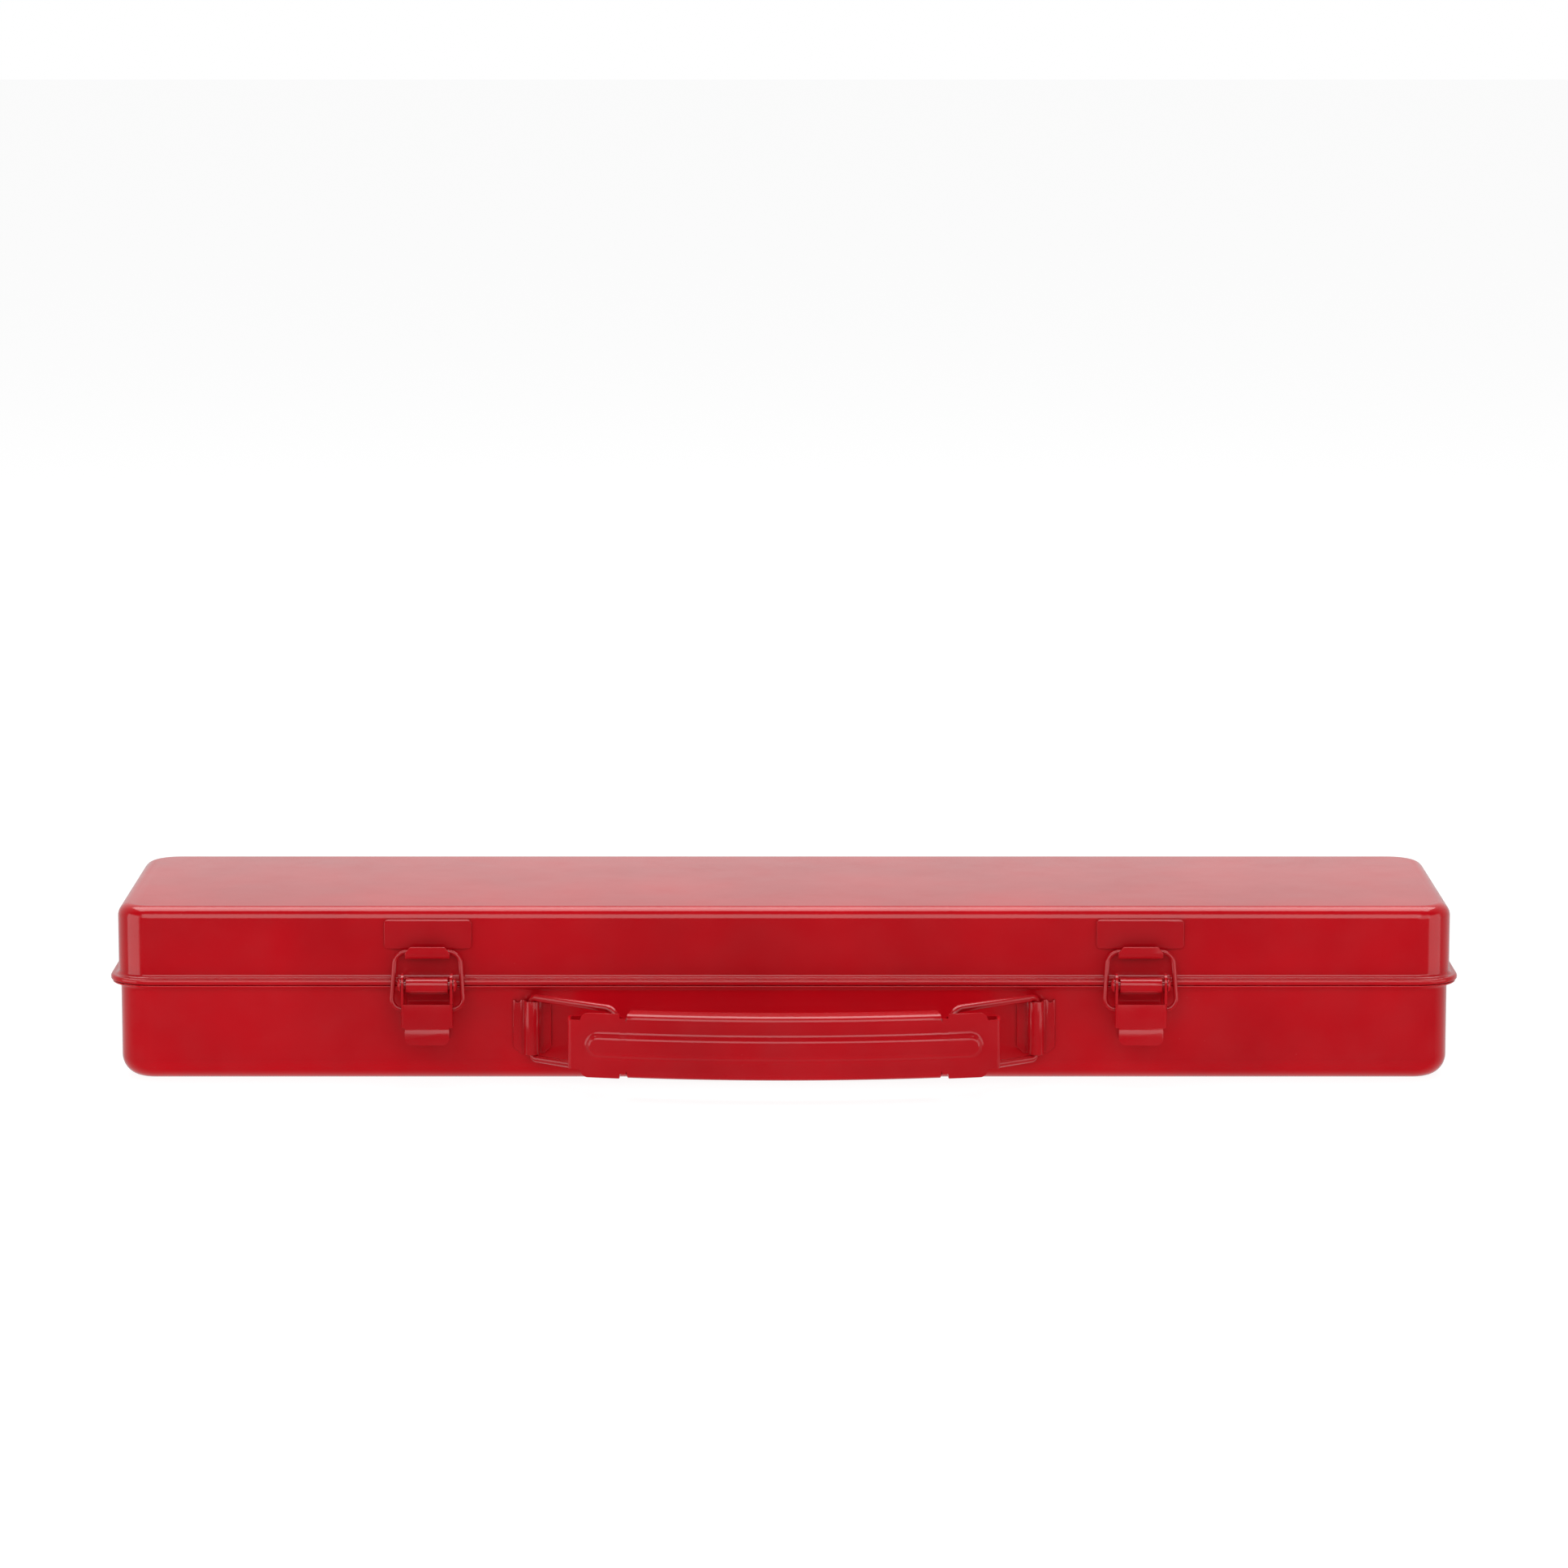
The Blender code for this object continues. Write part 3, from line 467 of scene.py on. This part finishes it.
def build_tray_fittings(label, side):
    low, high = node_box(f"tray_rest_{label}")
    wall = high.x - SHEET / 2 if side > 0 else low.x + SHEET / 2
    inner = low.x if side > 0 else high.x
    shelf = high.z - SHEET / 2
    path = rounded([(wall, low.z, 0), (wall, shelf, 1.2), (inner, shelf, 0)])
    rest = solid(f"tray_shelf_{label}", sheet_strip(path, SHEET, lambda s: (low.y, high.y),
                                                    lambda p, y: (p.x, y, p.y)))
    finished(rest, f"tray_rest_{label}", "base", INSIDE, 0.15)

    low, high = node_box(f"tray_lug_{label}")
    outline = rounded([(low.y, low.z, 1.0), (high.y, low.z, 1.0), (high.y, high.z, 4.0),
                       (low.y, high.z, 4.0)], closed=True)
    lug = solid(f"tray_lift_{label}", along_x(outline, low.x, high.x))
    rim = node_box("tray")[1].z
    slot_z = (rim + high.z) / 2
    slot_half = (high.y - low.y) / 4
    slot = arc((slot_half, slot_z), 2.0, -90, 90, 12) + arc((-slot_half, slot_z), 2.0, 90, 270, 12)
    cut(lug, "slot", along_x(slot, low.x - 1, high.x + 1))
    finished(lug, f"tray_lug_{label}", "tray", INSIDE, 0.15)


# Hinges


def build_hinge(label):
    """Two leaves curled round one pin. The base's leaf holds the middle knuckle."""
    base_low, base_high = node_box(f"hinge_base_leaf_{label}")
    lid_low, lid_high = node_box(f"hinge_lid_leaf_{label}")
    pin_low, pin_high = node_box(f"hinge_pin_{label}")
    start, end = base_low.x, base_high.x
    middle = (start + end) / 2
    pin_radius = (pin_high.z - pin_low.z) / 2
    curl = pin_radius + GAP + SHEET / 2
    clear = curl + SHEET / 2 + GAP
    near = LID_AXIS.y - curl
    axis = (LID_AXIS.y, LID_AXIS.z)
    half = KNUCKLE_HALF

    def extent(length):
        """Full width with round corners at the leaf's free end."""
        inset = 0.0
        if length < LEAF_CORNER:
            inset = LEAF_CORNER - sqrt(max(LEAF_CORNER ** 2 - (LEAF_CORNER - length) ** 2, 0.0))
        return start + inset, end - inset

    wall = base_low.y + SHEET / 2
    path = rounded([(wall, base_low.z, 0), (wall, LID_AXIS.z - LEAF_RISE, 1.5),
                    (near, LID_AXIS.z - clear - 0.6, 1.5), (near, LID_AXIS.z - 0.01, 0)])
    path = with_fine_start(path)
    path += arc(axis, curl, 180, -90, 30)[1:]
    leaf = solid(f"base_leaf_{label}", sheet_strip(path, SHEET, extent,
                                                   lambda p, x: (x, p.x, p.y)))
    low = (LID_AXIS.y - 2 * clear, LID_AXIS.z - clear)
    high = (LID_AXIS.y + 2 * clear, LID_AXIS.z + 2 * clear)
    for first, last in ((start - 1, middle - half), (middle + half, end + 1)):
        cut(leaf, "notch", block((first, low[0], low[1]), (last, high[0], high[1])))
    finished(leaf, f"hinge_base_leaf_{label}", "base", PRESSING, 0.12)

    wall = lid_low.y + SHEET / 2
    path = rounded([(wall, lid_high.z, 0), (wall, LID_AXIS.z + LEAF_RISE, 1.5),
                    (near, LID_AXIS.z + clear + 0.6, 1.5), (near, LID_AXIS.z + 0.01, 0)])
    path = with_fine_start(path)
    path += arc(axis, curl, 180, 450, 30)[1:]
    leaf = solid(f"lid_leaf_{label}", sheet_strip(path, SHEET, extent,
                                                  lambda p, x: (x, p.x, p.y)))
    half += GAP
    notch = block((middle - half, low[0], LID_AXIS.z - 2 * clear),
                  (middle + half, high[0], LID_AXIS.z + clear))
    cut(leaf, "notch", notch)
    finished(leaf, f"hinge_lid_leaf_{label}", "lid", PRESSING, 0.12)

    dome = 0.35
    stations = [(pin_low.x, pin_radius - dome), (pin_low.x + 0.12, pin_radius - 0.1),
                (pin_low.x + dome, pin_radius), (pin_high.x - dome, pin_radius),
                (pin_high.x - 0.12, pin_radius - 0.1), (pin_high.x, pin_radius - dome)]
    pin = solid(f"pin_{label}", turned(LID_AXIS.y, LID_AXIS.z, stations, 24))
    finished(pin, f"hinge_pin_{label}", "base", PRESSING)


# Latches


def build_strike(label):
    """The plate on the lid, its lower middle bent out and up into a hook."""
    low, high = node_box(f"latch_strike_{label}")
    middle = (low.x + high.x) / 2
    back = high.y - SHEET / 2
    lip = low.y + SHEET / 2
    floor = low.z + SHEET / 2
    tip = 48.3
    plate_bottom = 46.9
    hook = 7.75
    half = (high.x - low.x) / 2
    path = rounded([(back, high.z, 0), (back, floor, 1.2), (lip, floor, 1.2), (lip, tip, 0)])
    path = divided(path, 0.22)
    total = lengths(path)[-1]
    plate = high.z - plate_bottom
    corner = 1.3
    fillet = 0.9
    chamfer = 2.2

    def quarter(radius, length):
        return radius - sqrt(max(radius ** 2 - (radius - length) ** 2, 0.0))

    def extent(length):
        reach = half
        if length < corner:
            reach = half - quarter(corner, length)
        elif length > plate + fillet:
            reach = hook
            if length > total - chamfer:
                reach -= (length - total + chamfer) * 0.8
        elif length > plate:
            reach = hook + quarter(fillet, length - plate)
        elif length > plate - corner:
            reach = half - quarter(corner, plate - length)
        return middle - reach, middle + reach

    strike = solid(f"strike_{label}", sheet_strip(path, SHEET, extent, lambda p, x: (x, p.x, p.y)))
    finished(strike, f"latch_strike_{label}", "lid", PRESSING, 0.18)


def build_bracket(label):
    """The strap on the base rolled round the latch's rivet, and that rivet."""
    low, high = node_box(f"latch_bracket_{label}")
    rivet = joint_point(f"latch_lever_{label}_hinge")
    rivet_low, rivet_high = node_box(f"latch_rivet_{label}")
    shank = 1.5
    roll = shank + GAP + SHEET / 2
    back = high.y - SHEET / 2
    near = rivet.y + roll
    path = rounded([(back, low.z, 0), (back, rivet.z - 6.5, 1.5), (near, rivet.z - 2.8, 1.5),
                    (near, rivet.z - 0.01, 0)])
    path += arc((rivet.y, rivet.z), roll, 0, 282, 36)[1:]
    strap = solid(f"bracket_{label}", sheet_strip(path, SHEET, lambda s: (low.x, high.x),
                                                  lambda p, x: (x, p.x, p.y)))
    finished(strap, f"latch_bracket_{label}", "base", PRESSING, 0.15)

    head = (rivet_high.z - rivet_low.z) / 2
    tall = 1.2
    outer = (rivet_high.x - rivet_low.x) / 2
    inner = outer - tall
    stations = []
    for step in range(9):
        angle = radians(6 + 84 * step / 8)
        stations.append((rivet.x - inner - tall * cos(angle), head * sin(angle)))
    stations.append((rivet.x - inner, shank))
    stations += [(2 * rivet.x - x, radius) for x, radius in stations[::-1]]
    dome = solid(f"rivet_{label}", turned(rivet.y, rivet.z, stations), sharp=40)
    finished(dome, f"latch_rivet_{label}", "base", PRESSING)


def build_lever(label):
    """A U of sheet: two cheeks, a front face and a finger tab below it."""
    low, high = node_box(f"latch_lever_{label}")
    rivet = joint_point(f"latch_lever_{label}_hinge")
    pivot = joint_point(f"latch_loop_{label}_hinge")
    sheet = 0.85
    flare = 0.9
    face_top = 29.0
    face_bottom = 20.8
    cheek_bottom = 24.3
    top_radius = 3.45
    back = high.y
    front = low.y + flare
    face_back = front + sheet
    half = (high.x - low.x) / 2
    inner = half - sheet
    middle = rivet.x
    bend = 1.3
    tab = 7.65
    tab_corner = 2.4
    tab_front = front - flare
    outline = rounded([(back, high.z, top_radius), (front, high.z, top_radius), (front, face_bottom, 2.5),
                       (tab_front, low.z, 0), (tab_front + sheet, low.z, 0),
                       (face_back, face_bottom - 0.1, 2.5), (back, cheek_bottom, 1.5)], closed=True, steps=10)
    lever = solid(f"lever_{label}", along_x(outline, low.x, high.x))
    top = high.z + 2
    hollow = [(back + 2, top), (front - 2, top), (front - 2, face_top), (face_back, face_top),
              (face_back, face_bottom + 0.2), (face_back + 0.6, face_bottom - 3), (back + 2, low.z)]
    cut(lever, "hollow", along_x(hollow, middle - inner, middle + inner))
    for side in (-1, 1):
        near, far = sorted((middle + side * tab, middle + side * (half + 1)))
        trim = block((near, tab_front - 2, low.z - 1), (far, face_back + 0.3, face_bottom))
        cut(lever, "trim", trim)
        cutter = [(middle + side * u, front + v) for u, v in corner_waste(half, 0, bend)]
        cut(lever, "bend", along_z(cutter, face_bottom - 1, face_top + 0.3))
        cutter = [(middle + side * u, low.z + v) for u, v in corner_waste(tab, 0, tab_corner)]
        waste = [[(x, y, z) for x, z in cutter] for y in (tab_front - 2, face_back + 0.3)]
        cut(lever, "tab_corner", waste)
    for place, radius in ((rivet, 1.8), (pivot, 1.125)):
        circle = arc((place.y, place.z), radius, 0, 360, 32)[:-1]
        cut(lever, "bore", along_x(circle, low.x - 1, high.x + 1))
    finished(lever, f"latch_lever_{label}", f"lever_{label}", PRESSING, 0.16)


def build_loop(label):
    """Bent wire from one cheek of the lever, over the hook, to the other cheek."""
    low, high = node_box(f"latch_loop_{label}")
    pivot = joint_point(f"latch_loop_{label}_hinge")
    radius = 0.825
    bar = Vector((pivot.x, high.y - radius, high.z - radius))
    rise = bar - pivot
    up = rise.normalized()
    across = Vector((1.0, 0.0, 0.0))
    half_bottom = (high.x - low.x) / 2 - radius
    corners = [(7.55, 0, 0), (half_bottom, 0, 3.6), (11.2, rise.length, 4.2)]
    corners += [(-u, v, bend) for u, v, bend in corners[::-1]]
    path = [pivot + across * p.x + up * p.y for p in rounded(corners, steps=14)]
    loop = solid(f"loop_{label}", wire(path, across.cross(up), radius))
    finished(loop, f"latch_loop_{label}", f"loop_{label}", WIRE)


# Handle


def build_ear(label, side):
    """A strap on the base with a half-round channel for the ring's upright."""
    low, high = node_box(f"handle_ear_{label}")
    pivot = joint_point(f"handle_ring_{label}_hinge")
    flat = high.y - SHEET / 2
    channel = 2.3
    bend = 0.9
    half = (high.x - low.x) / 2
    path = rounded([(-half, flat, 0), (-channel, flat, bend), (-channel, pivot.y + 0.01, 0)])
    path += arc((0, pivot.y), channel, 180, 360, 24)[1:-1]
    path += rounded([(channel, pivot.y + 0.01, 0), (channel, flat, bend), (half, flat, 0)])
    path = divided(path, 0.35)
    total = lengths(path)[-1]
    taper = 2.4
    notch_at = 1.6
    notch = 1.0

    def extent(length):
        outward = length if side < 0 else total - length
        inward = total - outward
        bottom = low.z
        top = high.z
        if outward < taper:
            bottom += (taper - outward) * 0.9
        if inward < taper:
            bottom += (taper - inward) * 0.9
            top -= (taper - inward) * 0.6
        if abs(outward - notch_at) < notch:
            top -= sqrt(notch ** 2 - (outward - notch_at) ** 2)
        return bottom, top

    ear = solid(f"ear_{label}", sheet_strip(path, SHEET, extent,
                                            lambda p, z: (pivot.x + p.x, p.y, z)))
    finished(ear, f"handle_ear_{label}", "base", PRESSING, 0.14)


def build_ring(label, side):
    """A closed ring of wire. One upright turns in the ear, the other sits in the grip."""
    low, high = node_box(f"handle_ring_{label}")
    pivot = joint_point(f"handle_ring_{label}_hinge")
    radius = 1.3
    half = (high.z - low.z) / 2 - radius
    swing = radians(37.0)
    along = Vector((-side * cos(swing), -sin(swing), 0.0))
    reach = ((high.x - low.x) - 2 * radius) / cos(swing)
    up = Vector((0.0, 0.0, 1.0))
    corners = [(0, -half, 2.2), (reach, -half, 3.75), (reach, half, 3.75), (0, half, 2.2)]
    path = [pivot + along * p.x + up * p.y for p in rounded(corners, closed=True, steps=14)]
    ring = solid(f"ring_{label}", wire(path, along.cross(up), radius, closed=True), ring_closed=True)
    finished(ring, f"handle_ring_{label}", f"ring_{label}", WIRE)


GRIP_LOW, GRIP_HIGH = node_box("handle_grip")
GRIP_Z = (GRIP_LOW.z + GRIP_HIGH.z) / 2
GRIP_HALF_HEIGHT = (GRIP_HIGH.z - GRIP_LOW.z) / 2
GRIP_HALF_LENGTH = GRIP_HIGH.x
GRIP_FLANGE = 8.0
GRIP_FLANGE_END = 53.8
GRIP_PLATE_END = 70.0
GRIP_TAB_HALF_HEIGHT = 8.5
GRIP_TAB_DEPTH = 8.5
GRIP_TAB_END = 55.0
GRIP_END_OUT = 28.0
GRIP_BOW = 9.0
BEAD_HALF_LENGTH = 68.4
BEAD_HALF_WIDTH = 4.75
BEAD_HEIGHT = 1.6
BEAD_SLOPE = 2.2


def bow_out(x):
    return GRIP_END_OUT + GRIP_BOW * (1 - (x / GRIP_HALF_LENGTH) ** 2)


def bead(x, z):
    """Height of the long raised bead, with round ends."""
    past = max(abs(x) - (BEAD_HALF_LENGTH - BEAD_HALF_WIDTH), 0.0)
    inside = BEAD_HALF_WIDTH - sqrt(past ** 2 + z ** 2)
    share = min(max(inside / BEAD_SLOPE, 0.0), 1.0)
    return BEAD_HEIGHT * share * share * (3 - 2 * share)


def grip_line(half_height, flange, corner):
    """Centreline across the grip, (depth, z): a flange, the front and the other flange."""
    middle = GRIP_SHEET / 2
    top = half_height - middle if flange else half_height
    upper = []
    fronts = 15
    flat = top - corner
    for step in range(fronts):
        upper.append(Vector((middle, flat * step / (fronts - 1))))
    if flange:
        upper += arc((middle + corner, top - corner), corner, 180, 90, 6)[1:]
        upper += [Vector((flange * share, top)) for share in (0.45, 0.7, 1.0)]
    else:
        rest = [(step + 1) / 9 for step in range(9)]
        upper += [Vector((middle, flat + (top - flat) * share)) for share in rest]
    lower = [Vector((point.x, -point.y)) for point in upper[:0:-1]]
    return lower + upper


def grip_frames():
    """Stations of the grip's right half: place, inward direction, half height, flange, x for the bead."""
    notch = 0.35
    stations = []
    x = 0.0
    while x < GRIP_FLANGE_END - 0.5:
        stations.append((x, GRIP_FLANGE, GRIP_HALF_HEIGHT))
        x += 2.69
    stations.append((GRIP_FLANGE_END, GRIP_FLANGE, GRIP_HALF_HEIGHT))
    stations.append((GRIP_FLANGE_END + notch, 0.0, GRIP_HALF_HEIGHT - 1.6))
    stations.append((GRIP_FLANGE_END + 2.4, 0.0, GRIP_HALF_HEIGHT - 1.6))
    stations.append((GRIP_FLANGE_END + 2.4 + notch, 0.0, GRIP_HALF_HEIGHT))
    x = GRIP_FLANGE_END + 3.6
    shoulder = GRIP_HALF_HEIGHT - GRIP_TAB_HALF_HEIGHT
    start = GRIP_PLATE_END - shoulder
    while x < GRIP_PLATE_END:
        height = GRIP_HALF_HEIGHT
        if x > start:
            height -= shoulder - sqrt(max(shoulder ** 2 - (x - start) ** 2, 0.0))
        stations.append((x, 0.0, height))
        x += 0.6
    frames = []
    for x, flange, height in stations:
        slope = 2 * GRIP_BOW * x / GRIP_HALF_LENGTH ** 2
        inward = Vector((-slope, 1.0)).normalized()
        frames.append((Vector((x, -LID_HALF.y - bow_out(x))), inward, height, flange, x))
    bend = 1.8
    front_y = -LID_HALF.y - bow_out(GRIP_HALF_LENGTH - bend)
    rear_y = -LID_HALF.y - GRIP_END_OUT + GRIP_TAB_DEPTH
    for centre_y, first, last in ((front_y + bend, 280, 360), (rear_y - bend, 0, 90)):
        centre = Vector((GRIP_HALF_LENGTH - bend, centre_y))
        for point in arc(centre, bend, first, last, 10):
            frames.append((point, (centre - point).normalized(), GRIP_TAB_HALF_HEIGHT, 0.0, 99.0))
    tab = GRIP_HALF_LENGTH - bend - GRIP_TAB_END
    for share in (0.5, 0.8, 0.87, 0.94, 0.98, 1.0):
        lost = max(share - 0.85, 0.0) / 0.15
        height = GRIP_TAB_HALF_HEIGHT - 2.0 * (1 - sqrt(max(1 - lost ** 2, 0.0)))
        place = Vector((GRIP_HALF_LENGTH - bend - tab * share, rear_y))
        frames.append((place, Vector((0.0, -1.0)), height, 0.0, 99.0))
    return frames


def build_grip():
    right = grip_frames()
    left = [(Vector((-p.x, p.y)), Vector((-n.x, n.y)), h, f, -x) for p, n, h, f, x in right[:0:-1]]
    rings = []
    for place, inward, height, flange, x in left + right:
        line = grip_line(height, flange, 1.6)
        front = []
        rear = []
        for point, side in zip(line, directions(line)):
            raised = bead(x, point.y) if point.x < GRIP_SHEET else 0.0
            centre = point - Vector((raised, 0.0))
            front.append(centre + side * GRIP_SHEET / 2)
            rear.append(centre - side * GRIP_SHEET / 2)
        ring = []
        for point in front + rear[::-1]:
            spot = place + inward * point.x
            ring.append((spot.x, spot.y, GRIP_Z + point.y))
        rings.append(ring)
    grip = solid("grip", rings, sharp=42)
    finished(grip, "handle_grip", "grip", PRESSING)


# Surroundings


FLOOR_HALF = 9.0
FLOOR_DROP = 0.0002
FLOOR_GREY = 0.14
FLOOR_GLOW = 0.93
ROOM_FRONT = 0.03
ROOM_BEHIND = 0.62
LENS = 135.5
PITCH_DOWN = 9.0
CAMERA_PLACE = (0.0, -2.068, 0.4235)

# Panels of light: name, place, what each faces, width and height in metres, watts
LIGHTS = (
    ("key", (-0.4, -2.6, 1.5), (0, 0, 0.02), (3.4, 1.8), 36),
    ("fill", (1.6, -2.2, 0.9), (0, 0, 0.02), (1.6, 1.4), 8),
    ("top", (0.0, 0.35, 1.6), (0, 0, 0.03), (2.4, 1.4), 34),
    ("side_left", (-1.9, -0.75, 0.25), (0, -0.05, 0.03), (1.5, 1.2), 8),
    ("side_right", (1.9, -0.75, 0.25), (0, -0.05, 0.03), (1.5, 1.2), 6),
)


def build_floor():
    mesh = bpy.data.meshes.new("floor")
    built = bmesh.new()
    bmesh.ops.create_grid(built, x_segments=8, y_segments=8, size=FLOOR_HALF)
    built.to_mesh(mesh)
    built.free()
    floor = bpy.data.objects.new("floor", mesh)
    floor.location = (0.0, 0.0, -FLOOR_DROP)
    bpy.context.scene.collection.objects.link(floor)
    plain = bpy.data.materials.new("floor_paper")
    plain.use_nodes = True
    shader = plain.node_tree.nodes["Principled BSDF"]
    shader.inputs["Base Color"].default_value = (FLOOR_GREY, FLOOR_GREY, FLOOR_GREY, 1.0)
    shader.inputs["Roughness"].default_value = 0.9
    shader.inputs["Specular IOR Level"].default_value = 0.0
    shader.inputs["Emission Color"].default_value = (1.0, 1.0, 1.0, 1.0)
    shader.inputs["Emission Strength"].default_value = FLOOR_GLOW
    mesh.materials.append(plain)
    floor.visible_glossy = False


def area_light(name, place, target, size, power):
    data = bpy.data.lights.new(name, "AREA")
    data.shape = "RECTANGLE"
    data.size = size[0]
    data.size_y = size[1]
    data.energy = power
    light = bpy.data.objects.new(name, data)
    light.location = place
    light.rotation_euler = (Vector(target) - Vector(place)).to_track_quat("-Z", "Y").to_euler()
    bpy.context.scene.collection.objects.link(light)


def build_world():
    """Bright behind and dim in front, so that the walls stay deep and the lid's top is pale."""
    world = bpy.data.worlds.new("studio")
    bpy.context.scene.world = world
    world.use_nodes = True
    nodes = world.node_tree.nodes
    links = world.node_tree.links
    background = nodes["Background"]
    place = nodes.new("ShaderNodeTexCoord")
    split = nodes.new("ShaderNodeSeparateXYZ")
    links.new(place.outputs["Generated"], split.inputs[0])
    background.inputs["Color"].default_value = (1.0, 1.0, 1.0, 1.0)
    ramp = nodes.new("ShaderNodeMapRange")
    ramp.inputs["From Min"].default_value = -0.2
    ramp.inputs["From Max"].default_value = 0.8
    ramp.inputs["To Min"].default_value = ROOM_FRONT
    ramp.inputs["To Max"].default_value = ROOM_BEHIND
    links.new(split.outputs["Y"], ramp.inputs["Value"])
    path = nodes.new("ShaderNodeLightPath")
    mixed = nodes.new("ShaderNodeMix")
    links.new(path.outputs["Is Camera Ray"], mixed.inputs["Factor"])
    links.new(ramp.outputs["Result"], mixed.inputs["A"])
    mixed.inputs["B"].default_value = 1.0
    links.new(mixed.outputs["Result"], background.inputs["Strength"])


def build_lights():
    for name, place, target, size, power in LIGHTS:
        area_light(name, place, target, size, power)


def build_camera():
    data = bpy.data.cameras.new("camera")
    data.sensor_width = 36.0
    data.lens = LENS
    camera = bpy.data.objects.new("camera", data)
    camera.location = CAMERA_PLACE
    camera.rotation_euler = (radians(90.0 - PITCH_DOWN), 0.0, 0.0)
    bpy.context.scene.collection.objects.link(camera)
    bpy.context.scene.camera = camera


build_base()
build_lid()
build_tray()
for label, side in (("left", -1), ("right", 1)):
    build_tray_fittings(label, side)
    build_hinge(label)
    build_strike(label)
    build_bracket(label)
    build_lever(label)
    build_loop(label)
    build_ear(label, side)
    build_ring(label, side)
build_grip()
build_floor()
build_world()
build_lights()
build_camera()
bpy.context.scene.view_settings.view_transform = "Standard"
